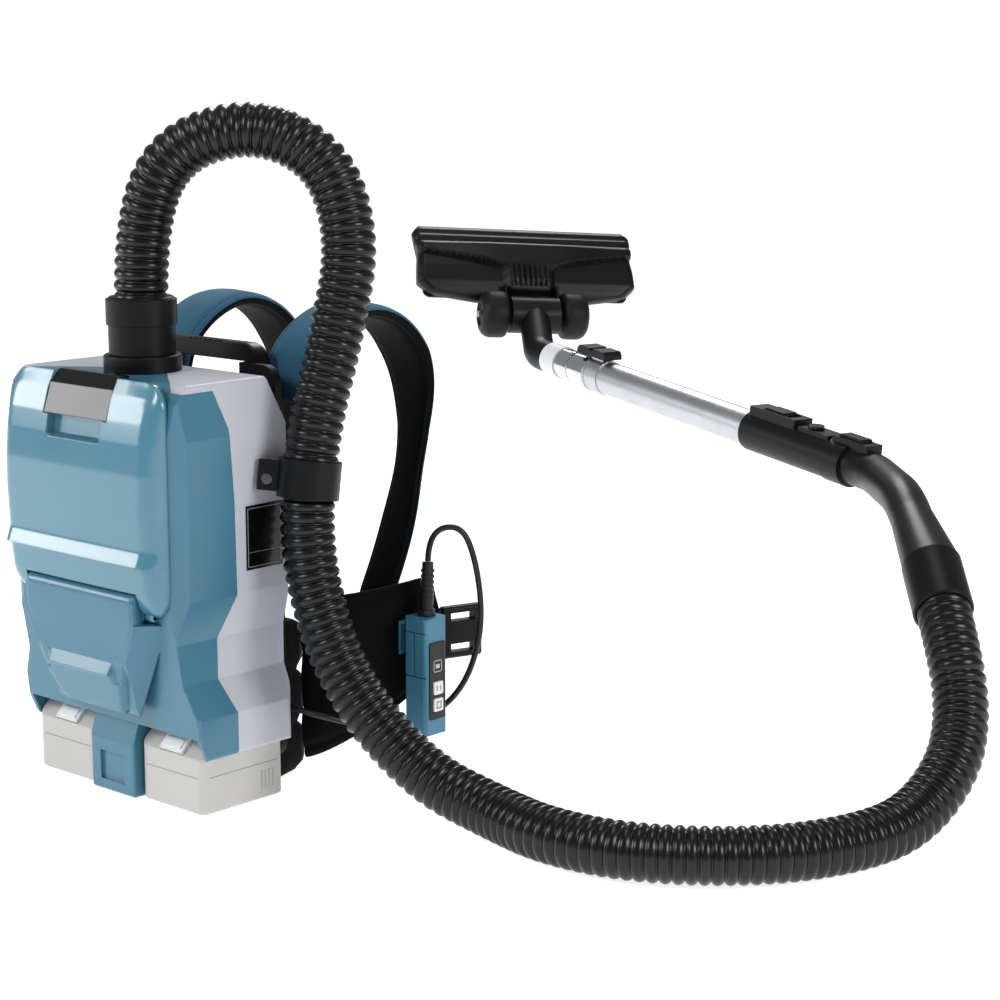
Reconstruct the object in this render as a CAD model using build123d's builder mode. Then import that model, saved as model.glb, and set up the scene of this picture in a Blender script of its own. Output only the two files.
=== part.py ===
import os
from math import radians, tan

from build123d import *

# A backpack vacuum cleaner standing on its batteries and foot, in millimetres.
# The origin is the middle of the foot's underside, -Y is the front and +X the right.

side_x = 106            # half width of the casing
flare_x = 108.5         # half width round the batteries
front_y = -60
rear_y = 53
top_z = 340
wall = 3
bay_z = 63              # ceiling of the battery bay
port_y = -4             # middle of the inlet
hose_d = 43
hose_bore = 39
foot_x = 27
pack_x = (29.4, 103.6)
pack_y = (-41, 44.6)
pack_z = 62
tube_d = 35
hinge_y = -63.5         # the cover's hinge
hinge_z = 160
latch_y = -52           # the latch's pivots
latch_z = 341
inner_d = 32.6

os.makedirs("parts", exist_ok=True)


def save(shape, name):
    shape.label = name
    export_step(shape, f"parts/{name}.step")


def block(x0, x1, y0, y1, z0, z1, mode=Mode.ADD):
    with Locations(((x0 + x1) / 2, (y0 + y1) / 2, (z0 + z1) / 2)):
        Box(x1 - x0, y1 - y0, z1 - z0, mode=mode)


def rod(x, y, z0, z1, radius, mode=Mode.ADD):
    with Locations((x, y, (z0 + z1) / 2)):
        Cylinder(radius, z1 - z0, mode=mode)


def rodX(x0, x1, y, z, radius, mode=Mode.ADD):
    with Locations(Location(((x0 + x1) / 2, y, z), (0, 90, 0))):
        Cylinder(radius, x1 - x0, mode=mode)


def mirrored(points):
    return points + [(-x, z) for x, z in reversed(points)]


# The casing is three outlines crossed: from the front, from the side and from above.
def makeCasing(inset):
    front = mirrored([
        (flare_x, 45), (flare_x, 79), (97, 106), (97, 139), (side_x, 173),
        (side_x, 298), (101, top_z),
    ])
    side = [
        (front_y, 152), (-46, 63), (-35, 38), (rear_y, 38), (rear_y, 299),
        (31, 349), (-37.3, 349), (-57, 326), (front_y, 300),
    ]
    with BuildPart() as body:
        with BuildSketch(Plane.XZ.offset(-140)) as outline:
            with BuildLine():
                Polyline(*front, close=True)
            make_face()
            fillet(outline.vertices(), 3.5)
            if inset:
                offset(amount=-inset)
        extrude(amount=280)
        with BuildSketch(Plane.YZ.offset(-140)) as outline:
            with BuildLine():
                Polyline(*side, close=True)
            make_face()
            fillet(outline.vertices(), 3.5)
            if inset:
                offset(amount=-inset)
        extrude(amount=280, mode=Mode.INTERSECT)
        with BuildSketch(Plane.XY) as outline:
            with Locations((0, (front_y + rear_y) / 2)):
                Rectangle(2 * flare_x + 0.8, rear_y - front_y + 0.8)
            fillet(outline.vertices().sort_by(Axis.Y)[:2], 20)
            fillet(outline.vertices().sort_by(Axis.Y)[-2:], 9)
            if inset:
                offset(amount=-inset)
        extrude(amount=400, mode=Mode.INTERSECT)
    return body.part


# The cover is a pillow, crossed the same way and then hollowed.
def makePillow(inset):
    side = [
        (-61, 158), (-70, 164), (-76, 200), (-79, 214), (-78, 272), (-73, 309),
        (-65, 333), (-56, 342.5), (-49, 342.5), (-20, 300), (-20, 158),
    ]
    with BuildPart() as body:
        with BuildSketch(Plane.YZ.offset(-(93.5 - inset))) as outline:
            with BuildLine():
                Polyline(*side, close=True)
            make_face()
            if inset:
                offset(amount=-inset)
        extrude(amount=2 * (93.5 - inset))
        with BuildSketch(Plane.XZ.offset(-140)) as outline:
            with Locations((0, 251)):
                Rectangle(187 - 2 * inset, 186 - 2 * inset)
            fillet(outline.vertices(), 21 - inset)
        extrude(amount=280, mode=Mode.INTERSECT)
        with BuildSketch(Plane.XY) as outline:
            with BuildLine():
                ThreePointArc((-76, -74.5), (0, -80), (76, -74.5))
                Polyline((76, -74.5), (93.5, -57), (93.5, -10), (-93.5, -10), (-93.5, -57), (-76, -74.5))
            make_face()
            fillet(outline.vertices().sort_by(Axis.Y)[:2], 12)
            if inset:
                offset(amount=-inset)
        extrude(amount=400, mode=Mode.INTERSECT)
    return body.part


casing = makeCasing(0)
casing_inner = makeCasing(wall)
casing_grown = makeCasing(-0.6)

# The seam between the teal front and the grey rear, seen from the side and from above.
seam_side = [
    (-110, 20), (-7, 20), (-7, 78), (-17, 106), (-17, 139), (-3, 172), (-4, 247),
    (-8, 304), (-20, 334), (-110, 334),
]
seam_top = [
    (-130, -110), (-130, -68), (-101, -60), (-29, -4), (29, -4), (101, -60),
    (130, -68), (130, -110),
]
with BuildPart() as front_zone:
    with BuildSketch(Plane.YZ.offset(-130)):
        with BuildLine():
            Polyline(*seam_side, close=True)
        make_face()
    extrude(amount=260)
    with BuildSketch(Plane.XY.offset(334)):
        with BuildLine():
            Polyline(*seam_top, close=True)
        make_face()
    extrude(amount=20)

with BuildPart() as shell:
    add(casing)
    add(casing_inner, mode=Mode.SUBTRACT)
    block(-104.5, 104.5, -70, 48.5, 30, bay_z, Mode.SUBTRACT)
    # the floor over the battery bay
    with BuildPart(mode=Mode.PRIVATE) as floor:
        add(casing)
        block(-120, 120, -80, 80, bay_z, bay_z + wall, Mode.INTERSECT)
    add(floor.part)
    rod(0, port_y, 320, 350, 26.2, Mode.SUBTRACT)

# The nose below the cover: its sides slope back to the casing and its front falls in facets.
with BuildPart() as nose:
    with BuildSketch(Plane.XZ.offset(57)):
        with BuildLine():
            Polyline((-86, 154), (86, 154), (50, 74), (-50, 74), close=True)
        make_face()
    with BuildSketch(Plane.XZ.offset(77)):
        with BuildLine():
            Polyline((-67.5, 154), (67.5, 154), (37, 74), (-37, 74), close=True)
        make_face()
    loft(ruled=True)
    with BuildSketch(Plane.YZ.offset(-140)):
        with BuildLine():
            Polyline(
                (-50, 160), (-76, 160), (-75.4, 121), (-70, 108), (-60.5, 80), (-56, 72),
                (-50, 72), close=True,
            )
        make_face()
    extrude(amount=280, mode=Mode.INTERSECT)
    with BuildSketch(Plane.YZ.offset(-67.5)):
        with BuildLine():
            Polyline((-57, 150), (-57, 178), (-68, 178), (-76, 170), (-76, 150), close=True)
        make_face()
    extrude(amount=135)
    add(casing_inner, mode=Mode.SUBTRACT)

with BuildPart() as front_housing:
    add(shell.part)
    add(front_zone.part, mode=Mode.INTERSECT)
    add(nose.part)
    block(-84, 84, -75, -50, 188, 322, Mode.SUBTRACT)
    # an ear each side for the cover's hinge pins
    for x in (-65, 65):
        block(x - 3.2, x + 3.2, -66.5, -58, 156.8, 163.2)
        rodX(x - 4, x + 4, hinge_y, hinge_z, 1.86, Mode.SUBTRACT)
save(front_housing.part, "front_housing")

with BuildPart() as rear_housing:
    add(shell.part)
    add(front_zone.part, mode=Mode.SUBTRACT)
    for x in (-86, 86):
        for z in (84, 290):
            with Locations(Location((x, rear_y - 4, z), (90, 0, 0))):
                Cylinder(2.2, 20, mode=Mode.SUBTRACT)
save(rear_housing.part, "rear_housing")

with BuildPart() as housing_screws:
    for x in (-86, 86):
        for z in (84, 290):
            with Locations(Location((x, rear_y - 3.5, z), (90, 0, 0))):
                Cylinder(2.0, 6)
save(housing_screws.part, "housing_screws")

pillow = makePillow(0)
with BuildPart() as front_cover:
    add(pillow)
    add(makePillow(wall), mode=Mode.SUBTRACT)
    # a solid bank behind the latch, with the finger pocket cut into it
    with BuildPart(mode=Mode.PRIVATE) as bank:
        add(makePillow(1))
        block(-43, 43, -90, -62, 286, 345, Mode.INTERSECT)
    add(bank.part)
    add(casing_grown, mode=Mode.SUBTRACT)
    block(-69, 69, -90, -40, 150, 178.8, Mode.SUBTRACT)
    block(-95, 95, -62, -40, 150, 163, Mode.SUBTRACT)
    # a solid corner each side holds a hinge pin
    with BuildPart(mode=Mode.PRIVATE) as corners:
        add(pillow)
        block(-82, 82, -70, -62, 150, 166, Mode.INTERSECT)
        block(-69, 69, -90, -40, 150, 180, Mode.SUBTRACT)
    add(corners.part)
    for x in (-74.5, 74.5):
        rodX(x - 5, x + 5, hinge_y, hinge_z, 3.2)
    rodX(-80, 80, hinge_y, hinge_z, 1.8, Mode.SUBTRACT)
    with BuildPart(mode=Mode.PRIVATE) as pocket:
        block(-29, 29, -90, -67, 293, 312)
        fillet(pocket.edges().filter_by(Axis.Y), 5)
    add(pocket.part, mode=Mode.SUBTRACT)
    with BuildPart(mode=Mode.PRIVATE) as latch_seat:
        block(-39.4, 39.4, -100, -30, 309.5, 360)
        add(makePillow(4.3), mode=Mode.SUBTRACT)
        add(casing_grown, mode=Mode.SUBTRACT)
    add(latch_seat.part, mode=Mode.SUBTRACT)
    # a stub each side that the latch turns on
    for x in (-38, 38):
        rodX(x - 4, x + 4, latch_y, latch_z, 1.15)
save(front_cover.part, "front_cover")

with BuildPart() as cover_latch:
    add(makePillow(-0.8))
    block(-38.8, 38.8, -100, -49.5, 310.1, 360, Mode.INTERSECT)
    add(makePillow(3.9), mode=Mode.SUBTRACT)
    add(makeCasing(-0.9), mode=Mode.SUBTRACT)
    with Locations(Location((0, -75, 321), (90, 0, 0))):
        for z in (-3, 3):
            with Locations((0, z, 0)):
                Box(30, 1.6, 3)
    add(makePillow(-1.6), mode=Mode.INTERSECT)
    rodX(-40, 40, latch_y, latch_z, 1.2, Mode.SUBTRACT)
save(cover_latch.part, "cover_latch")

with BuildPart() as hinge_pins:
    for x in (-71, 71):
        rodX(x - 8, x + 8, hinge_y, hinge_z, 1.8)
save(hinge_pins.part, "hinge_pins")

# The inlet stub, the swivel cuff on it and the hose that leaves the cuff.
with BuildPart() as inlet_port:
    rod(0, port_y, top_z + 0.2, 353, 31)
    chamfer(inlet_port.edges().group_by(Axis.Z)[-1], 1)
    rod(0, port_y, 322, 348, 26)
    rod(0, port_y, 320, 360, 22, Mode.SUBTRACT)
save(inlet_port.part, "inlet_port")

with BuildPart() as hose_cuff:
    rod(0, port_y, 353.3, 399, 26.6)
    rod(0, port_y, 377, 397, 28.2)
    chamfer(hose_cuff.edges().group_by(Axis.Z)[-1], 1.5)
    rod(0, port_y, 350, 384, 20, Mode.SUBTRACT)
    rod(0, port_y, 384, 410, 21.8, Mode.SUBTRACT)
    with Locations(Location((-27.5, port_y - 8, 388), (0, 0, 20))):
        Box(6, 12, 3.5, mode=Mode.SUBTRACT)
save(hose_cuff.part, "hose_cuff")

hose_points = [
    (0, -4, 384.3), (0, -4, 450), (26, 6, 514), (76, 50, 535), (126, 82, 508),
    (147, 88, 445), (143, 72, 372), (139, 50, 300), (139, 39, 225), (152, 40, 158),
    (185, 47, 92), (243, 63, 38), (312, 71, 21.6), (375, 57, 21.6), (447, 70, 21.6),
    (517, 124, 21.6), (552, 192, 21.6), (565, 251, 27), (571, 297, 60), (557, 330, 96),
    (537.7, 344.3, 139.1), (508.2, 373.8, 164.8),
]


# Straight runs joined by arcs as large as the runs allow.
def makeTube(points, outer, inner, name):
    spots = [Vector(*p) for p in points]
    runs = [b - a for a, b in zip(spots, spots[1:])]
    radii = []
    for a, b in zip(runs, runs[1:]):
        half = radians(a.get_angle(b) / 2)
        radii.append(0.45 * min(a.length, b.length) / tan(half))
    with BuildPart() as tube:
        with BuildLine() as path:
            FilletPolyline(*points, radius=radii)
        with BuildSketch(path.line ^ 0):
            Circle(outer / 2)
            if inner:
                Circle(inner / 2, mode=Mode.SUBTRACT)
        sweep(transition=Transition.RIGHT)
    length = sum(edge.length for edge in path.edges())
    area = 3.14159265 * (outer ** 2 - inner ** 2) / 4
    print(name, "length", round(length, 1), "radii", [round(r) for r in radii])
    print(name, "volume", round(tube.part.volume), "section x length", round(area * length))
    return tube.part


hose = makeTube(hose_points, hose_d, hose_bore, "hose")
save(hose, "hose")

with BuildPart() as hose_band:
    band_axis = Plane(origin=(139, 44.4, 262), x_dir=(1, 0, 0), z_dir=(0, 0.145, 0.989))
    with BuildSketch(band_axis.offset(-15)):
        Circle(24.6)
    extrude(amount=30)
    block(84.5, 128, 60.3, 65, 251, 273)
    with BuildSketch(band_axis.offset(-12)):
        with Locations(Location((-21.5, -19.4, 0), (0, 0, 42))):
            Rectangle(22, 5)
    extrude(amount=24)
    with BuildSketch(band_axis.offset(-30)):
        Circle(22.3)
    extrude(amount=60, mode=Mode.SUBTRACT)
    with Locations(Location((114.5, 22, 262), (0, 0, -48))):
        with Locations(Location((0, 0, 0), (0, 90, 0))):
            Cylinder(4.5, 30, mode=Mode.SUBTRACT)
save(hose_band.part, "hose_band")

# Inside the upper casing: the dust bag on its collar and the filter below it.
with BuildPart() as dust_bag:
    block(-82, 82, -52, 40, 192, 318)
    fillet(dust_bag.edges(), 18)
    rod(0, port_y, 300, 321.7, 24)
save(dust_bag.part, "dust_bag")

with BuildPart() as filter_frame:
    block(-96, 96, -50, 44, 174, 188)
    block(-88, 88, -43, 37, 170, 192, Mode.SUBTRACT)
save(filter_frame.part, "filter_frame")

with BuildPart() as filter_pleats:
    for i in range(22):
        x = -87 + 8.0 * i
        block(x, x + 5, -42.8, 36.8, 175, 187)
    block(-87.5, 87.5, -42.8, 36.8, 175, 176.5)
save(filter_pleats.part, "filter_pleats")

# The fan and its motor stand on the bay's ceiling, with the shaft upright.
motor_y = -6
with BuildPart() as fan_housing:
    rod(0, motor_y, 136, 168, 46)
    fillet(fan_housing.edges().group_by(Axis.Z)[-1], 6)
    rod(0, motor_y, 138.5, 165.5, 43, Mode.SUBTRACT)
    rod(0, motor_y, 160, 172, 20, Mode.SUBTRACT)
    rod(0, motor_y, 130, 140, 8, Mode.SUBTRACT)
save(fan_housing.part, "fan_housing")

with BuildPart() as impeller:
    rod(0, motor_y, 141, 143, 40)
    rod(0, motor_y, 143, 156, 8)
    for i in range(9):
        with Locations(Location((0, motor_y, 149.5), (0, 0, 40 * i))):
            with Locations(Location((23, 4, 0), (0, 0, 25))):
                Box(32, 1.8, 13)
    rod(0, motor_y, 130, 160, 3, Mode.SUBTRACT)
save(impeller.part, "impeller")

with BuildPart() as motor_shaft:
    rod(0, motor_y, 76, 155, 3)
    rod(0, motor_y, 88, 128, 13)
save(motor_shaft.part, "motor_shaft")

with BuildPart() as motor_stator:
    rod(0, motor_y, 84, 132, 30)
    rod(0, motor_y, 86, 130, 27.5, Mode.SUBTRACT)
    rod(0, motor_y, 90, 126, 27.5)
    rod(0, motor_y, 80, 134, 14, Mode.SUBTRACT)
    rod(0, motor_y, 72, 86, 12)
    rod(0, motor_y, 132, 135.8, 12)
    rod(0, motor_y, 68, 140, 3.6, Mode.SUBTRACT)
    rod(0, motor_y, 86, 132, 14, Mode.SUBTRACT)
    for i in range(6):
        with Locations(Location((0, motor_y, 108), (0, 0, 60 * i))):
            with Locations((20.5, 0, 0)):
                Box(9, 9, 40, mode=Mode.SUBTRACT)
    rod(0, motor_y, 66.2, 72, 24)
    rod(0, motor_y, 60, 140, 3.6, Mode.SUBTRACT)
    rod(0, motor_y, 72, 86, 15)
    rod(0, motor_y, 70, 86, 3.6, Mode.SUBTRACT)
save(motor_stator.part, "motor_stator")

with BuildPart() as motor_windings:
    for i in range(6):
        with Locations(Location((0, motor_y, 108), (0, 0, 60 * i))):
            with Locations((20.5, 0, 0)):
                Box(8.4, 8.4, 38)
save(motor_windings.part, "motor_windings")

with BuildPart() as control_board:
    block(-44, 44, 44.5, 46.1, 78, 152)
    for x in (-40, 40):
        for z in (82, 148):
            with Locations(Location((x, 48, z), (90, 0, 0))):
                Cylinder(2.5, 4)
    block(-30, 6, 38, 44.5, 92, 132)
    for x in (20, 33):
        with Locations(Location((x, 37, 100), (90, 0, 0))):
            Cylinder(5.5, 15)
    block(14, 38, 39, 44.5, 120, 140)
save(control_board.part, "control_board")

# Each battery: a case, its cells, a sprung button and slots for the terminals.
def makePack(sign):
    x0, x1 = sorted((sign * pack_x[0], sign * pack_x[1]))
    mid = (x0 + x1) / 2
    y0, y1 = pack_y
    with BuildPart() as case:
        block(x0, x1, y0, y1, 0, pack_z)
        top_front = case.edges().filter_by(Axis.X).sort_by(lambda e: e.center().Z - e.center().Y)[-1]
        chamfer(top_front, 17)
        fillet(case.edges().filter_by(Axis.Z), 6)
        chamfer(case.edges().group_by(Axis.Z)[0], 2)
        block(x0 + 3, x1 - 3, y0 + 3, y1 - 3, 3, 42, Mode.SUBTRACT)
        # the button's pocket in the chamfer
        with Locations(Location((mid, y0 + 7.9, pack_z - 9.1), (45, 0, 0))):
            Box(28, 20.5, 14, mode=Mode.SUBTRACT)
        for dx in (-22, -8, 8, 22):
            block(mid + dx - 2, mid + dx + 2, 20, y1 + 1, 50, pack_z + 1, Mode.SUBTRACT)
    with BuildPart() as button:
        with Locations(Location((mid, y0 + 7.9, pack_z - 9.1), (45, 0, 0))):
            with Locations((0, 0, -1.0)):
                Box(27, 19.5, 7)
            with Locations((0, -3, 2.8)):
                Box(20, 8, 1.4)
    with BuildPart() as cells:
        for z in (12.6, 31.6):
            for i in range(4):
                rodX(x0 + 4.6, x1 - 4.6, y0 + 14 + 19.2 * i, z, 9.2)
    return case.part, button.part, cells.part


for sign, name in ((-1, "left"), (1, "right")):
    case, button, cells = makePack(sign)
    save(case, f"battery_{name}_case")
    save(button, f"battery_{name}_button")
    save(cells, f"battery_{name}_cells")

with BuildPart() as battery_terminals:
    for sign in (-1, 1):
        mid = sign * (pack_x[0] + pack_x[1]) / 2
        block(mid - 26, mid + 26, 45.2, 48.4, 49, 62.8)
        for dx in (-22, -8, 8, 22):
            block(mid + dx - 0.6, mid + dx + 0.6, 24, 45.2, 52, 60)
save(battery_terminals.part, "battery_terminals")

with BuildPart() as center_foot:
    block(-foot_x, foot_x, -47, 44, 0, bay_z)
    top_front = center_foot.edges().filter_by(Axis.X).sort_by(lambda e: e.center().Z - e.center().Y)[-1]
    chamfer(top_front, 20, 7)
    fillet(center_foot.edges().filter_by(Axis.Z), 2)
    chamfer(center_foot.edges().group_by(Axis.Z)[0], 1.5)
    block(-15, 15, -50, -44.5, 9, 33, Mode.SUBTRACT)
    block(-foot_x + 3, foot_x - 3, -38, 41, 3, 59, Mode.SUBTRACT)
save(center_foot.part, "center_foot")

with BuildPart() as label_plate:
    block(side_x, side_x + 0.6, 7, 45, 190, 241)
save(label_plate.part, "label_plate")

# The harness: a stiff plate, the pad, two shoulder straps and two belt wings.
with BuildPart() as back_plate:
    block(-92, 92, rear_y + 0.2, 60, 24, 345)
    fillet(back_plate.edges().filter_by(Axis.Y), 14)
    block(-50, 50, rear_y - 1, 61, 318, 350, Mode.SUBTRACT)
    for z in (64, 144, 224):
        for x in (-44, 44):
            block(x - 26, x + 26, rear_y - 1, 61, z, z + 56, Mode.SUBTRACT)
    rodX(91.5, 101.5, 56.5, 68, 3.4)
save(back_plate.part, "back_plate")

with BuildPart() as back_pad:
    block(-78, 78, 60.2, 84, 0.2, 312)
    fillet(back_pad.edges().filter_by(Axis.X).group_by(Axis.Y)[-1], 9)
    fillet(back_pad.edges().filter_by(Axis.Z).group_by(Axis.Y)[-1], 9)
    with BuildPart(mode=Mode.PRIVATE) as lumbar:
        block(-77.5, 77.5, 70, 102, 0.2, 134)
        fillet(lumbar.edges().filter_by(Axis.X).group_by(Axis.Y)[-1], 8)
    add(lumbar.part)
save(back_pad.part, "back_pad")

with BuildPart() as carry_handle:
    with BuildLine() as path:
        FilletPolyline((-66, 66, 322), (-54, 67, 352), (54, 67, 352), (66, 66, 322), radius=10)
    with BuildSketch(path.line ^ 0) as section:
        RectangleRounded(15, 20, 6)
    sweep(transition=Transition.RIGHT)
    block(-80, 80, 50, 60.2, 300, 360, Mode.SUBTRACT)
    for i in range(7):
        x = -18 + 6 * i
        block(x, x + 2.4, 58, 76, 358.2, 362, Mode.SUBTRACT)
save(carry_handle.part, "carry_handle")


# A strap seen from the side: its middle line, thickened, then drawn out across X.
def makeRibbon(plane, line, thick, low, high):
    spots = [Vector(*p) for p in line]
    upper = []
    lower = []
    for i, spot in enumerate(spots):
        before = spots[max(i - 1, 0)]
        after = spots[min(i + 1, len(spots) - 1)]
        along = (after - before).normalized()
        across = Vector(-along.Y, along.X) * (thick / 2)
        upper.append(spot + across)
        lower.append(spot - across)
    with BuildPart() as ribbon:
        with BuildSketch(plane):
            with BuildLine():
                Spline(*[(v.X, v.Y) for v in upper])
                Line((upper[-1].X, upper[-1].Y), (lower[-1].X, lower[-1].Y))
                Spline(*[(v.X, v.Y) for v in reversed(lower)])
                Line((lower[0].X, lower[0].Y), (upper[0].X, upper[0].Y))
            make_face()
        extrude(amount=high - low)
    return ribbon.part


strap_line = [
    (82, 312.8), (84, 334), (96, 356), (120, 374), (152, 384), (188, 374), (214, 349), (226, 318),
    (228, 280), (222, 245), (211, 205), (194, 162), (176, 128),
]
for sign, name in ((-1, "left"), (1, "right")):
    low, high = sorted((sign * 47, sign * 104))
    save(makeRibbon(Plane.YZ.offset(low), strap_line, 11, low, high), f"shoulder_strap_{name}")

belt_line = [(80, 93), (100, 97), (121, 110), (139, 131), (150, 152), (156, 169)]
with BuildPart() as waist_belt_right:
    add(makeRibbon(Plane.XY.offset(8), belt_line, 15, 8, 172))
    with BuildSketch(Plane.YZ):
        with BuildLine():
            Polyline(
                (60, 12), (60, 148), (96, 150), (136, 158), (170, 168), (230, 166),
                (230, 96), (188, 88), (150, 72), (128, 54), (104, 26), close=True,
            )
        make_face()
    extrude(amount=250, mode=Mode.INTERSECT)
save(waist_belt_right.part, "waist_belt_right")

belt_left = [(-81, 93), (-98, 98), (-114, 112), (-126, 132), (-134, 156)]
with BuildPart() as waist_belt_left:
    add(makeRibbon(Plane.XY.offset(0.2), belt_left, 15, 0.2, 146))
    with BuildSketch(Plane.YZ):
        with BuildLine():
            Polyline((60, 0), (60, 138), (110, 140), (140, 124), (200, 108), (200, 14), (150, 0), close=True)
        make_face()
    extrude(amount=-250, mode=Mode.INTERSECT)
save(waist_belt_left.part, "waist_belt_left")

with BuildPart() as belt_buckle:
    with Locations(Location((163.5, 190, 118), (0, 0, 72))):
        Box(38, 9, 44)
        fillet(belt_buckle.edges(), 3)
        with Locations((0, 0, 13), (0, 0, -13)):
            Box(22, 20, 7, mode=Mode.SUBTRACT)
save(belt_buckle.part, "belt_buckle")

# The wand: everything on it is built along its axis, from the grip towards the nozzle.
wand_dir = Vector(-0.9601, 0.26347, 0.09378).normalized()
wand_side = Vector(0.2646, 0.9643, 0)
wand_up = Vector(0.0904, -0.0248, 0.9956)
wand_zero = Vector(142, 624, 234.9)


def wandPlane(k):
    return Plane(origin=wand_zero + wand_dir * k, x_dir=wand_side, z_dir=wand_dir)


def wandDisc(k0, k1, radius, mode=Mode.ADD):
    with BuildSketch(wandPlane(k0)) as disc:
        Circle(radius)
    extrude(disc.sketch, amount=k1 - k0, mode=mode)


# A block on the wand: k along it, s across it, u away from its axis.
def wandBlock(k0, k1, s0, s1, u0, u1, mode=Mode.ADD):
    with BuildSketch(wandPlane(k0)) as end:
        with Locations(((s0 + s1) / 2, -(u0 + u1) / 2)):
            Rectangle(s1 - s0, u1 - u0)
    extrude(end.sketch, amount=k1 - k0, mode=mode)


# The edges across the wand at the top of a part that stands on it.
def crestEdges(part):
    level = [e for e in part.edges() if abs((e @ 1 - e @ 0).dot(wand_side)) > 0.9 * e.length]
    return sorted(level, key=lambda e: (e.center() - wand_zero).dot(wand_up))[-2:]


tube_r = tube_d / 2
with BuildPart() as wand_outer:
    wandDisc(-118, 262, tube_r)
    wandDisc(236, 262, tube_r + 0.9)
    wandDisc(-118, 262, tube_r - 1.1, Mode.SUBTRACT)
    wandDisc(258, 262, tube_r + 1.4)
    wandBlock(240, 260, -7, 7, 17, tube_r + 4.4)
    wandDisc(250, 270, inner_d / 2 + 0.3, Mode.SUBTRACT)
save(wand_outer.part, "wand_outer")

with BuildPart() as wand_inner:
    wandDisc(-60, 318, inner_d / 2)
    wandDisc(294, 299, inner_d / 2 + 0.8)
    wandDisc(-60, 318, inner_d / 2 - 1.2, Mode.SUBTRACT)
save(wand_inner.part, "wand_inner")

with BuildPart() as wand_lock:
    wandBlock(232, 282, -11, 11, tube_r + 2.6, tube_r + 11)
    chamfer(crestEdges(wand_lock), 3.5)
    wandBlock(254, 260, -20, 20, tube_r + 8.5, tube_r + 20, Mode.SUBTRACT)
    wandBlock(239.4, 260.6, -7.5, 7.5, 10, tube_r + 6, Mode.SUBTRACT)
save(wand_lock.part, "wand_lock")

with BuildPart() as wand_sleeve:
    wandDisc(-123, -4, 20)
    chamfer(wand_sleeve.edges().sort_by(lambda e: (e.center() - wand_zero).dot(wand_dir))[-1], 1.5)
    wandBlock(-76, -10, -11, 11, 10, 26)
    wandBlock(-123, -80, -10, 10, 10, 21.5)
    wandDisc(-125, 0, tube_r + 0.05, Mode.SUBTRACT)
    wandBlock(-66, -26, -8, 8, 21.5, 30, Mode.SUBTRACT)
    with BuildSketch(Plane(origin=wand_zero + wand_dir * -95 + wand_up * 19.4, x_dir=wand_side, z_dir=wand_up)):
        Circle(7.9)
    extrude(amount=10, mode=Mode.SUBTRACT)
save(wand_sleeve.part, "wand_sleeve")

with BuildPart() as sleeve_slider:
    wandBlock(-58, -28, -7.6, 7.6, 21.7, 28)
    chamfer(crestEdges(sleeve_slider), 2)
save(sleeve_slider.part, "sleeve_slider")

with BuildPart() as sleeve_button:
    button_plane = Plane(origin=wand_zero + wand_dir * -95 + wand_up * 21.3, x_dir=wand_side, z_dir=wand_up)
    with BuildSketch(button_plane):
        Circle(7.5)
    extrude(amount=3.4)
save(sleeve_button.part, "sleeve_button")

# The bent handle: socket on the wand, a swept bend and a flare to the cuff.
cuff_dir = Vector(-0.602, 0.602, 0.524).normalized()
cuff_end = Vector(516, 366, 158)
cuff_start = cuff_end + cuff_dir * 53
bend_a = wand_zero + wand_dir * -123.3
bend_b = wand_zero + wand_dir * -178
bend_c = Vector(402, 484, 219)
flare_dir = (cuff_start - bend_c).normalized()
flare_at = bend_c + flare_dir * 42


def makeBend(radius, flare_radius, extra):
    with BuildPart() as bend:
        with BuildLine() as path:
            FilletPolyline(tuple(bend_a), tuple(bend_b), tuple(bend_c), tuple(flare_at), radius=[80, 190])
        with BuildSketch(path.line ^ 0):
            Circle(radius)
        sweep(transition=Transition.RIGHT)
        with BuildSketch(Plane(origin=flare_at, z_dir=flare_dir)):
            Circle(radius)
        with BuildSketch(Plane(origin=cuff_start, z_dir=(cuff_dir * -1))):
            Circle(flare_radius)
        loft()
    return bend.part


with BuildPart() as handle_tube:
    add(makeBend(18, 23.4, 0))
    wandDisc(-150, -123.3, 21)
    wandBlock(-176, -128, -9, 9, 8, 24)
    add(makeBend(15.4, 20.8, 1), mode=Mode.SUBTRACT)
    wandDisc(-140, -120, 15.4, Mode.SUBTRACT)
    wandBlock(-168, -132, -6.4, 6.4, 18.8, 30, Mode.SUBTRACT)
save(handle_tube.part, "handle_tube")

with BuildPart() as handle_latch:
    wandBlock(-166, -134, -6, 6, 21.2, 27)
    chamfer(crestEdges(handle_latch), 2)
save(handle_latch.part, "handle_latch")

with BuildPart() as handle_cuff:
    with BuildSketch(Plane(origin=cuff_end, z_dir=cuff_dir)):
        Circle(24)
    extrude(amount=52.7)
    chamfer(handle_cuff.edges().sort_by(lambda e: (e.center() - cuff_end).dot(cuff_dir))[0], 1.5)
    with BuildSketch(Plane(origin=cuff_end - cuff_dir, z_dir=cuff_dir)):
        Circle(21.9)
    extrude(amount=14, mode=Mode.SUBTRACT)
    with BuildSketch(Plane(origin=cuff_end, z_dir=cuff_dir)):
        Circle(20.8)
    extrude(amount=60, mode=Mode.SUBTRACT)
save(handle_cuff.part, "handle_cuff")

# The nozzle has its own axes: across, forwards over the floor and up off the sole.
nozzle_x = Vector(0.5588, 0.8274, -0.0558).normalized()
nozzle_z = Vector(0.712, -0.4442, 0.5438).normalized()
pivot = Vector(-259.8, 765.1, 304.7)
elbow = wand_zero + wand_dir * 345
nozzle_frame = Location(Plane(origin=pivot, x_dir=nozzle_x, z_dir=nozzle_z))
neck_dir = (pivot - elbow).normalized()

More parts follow.
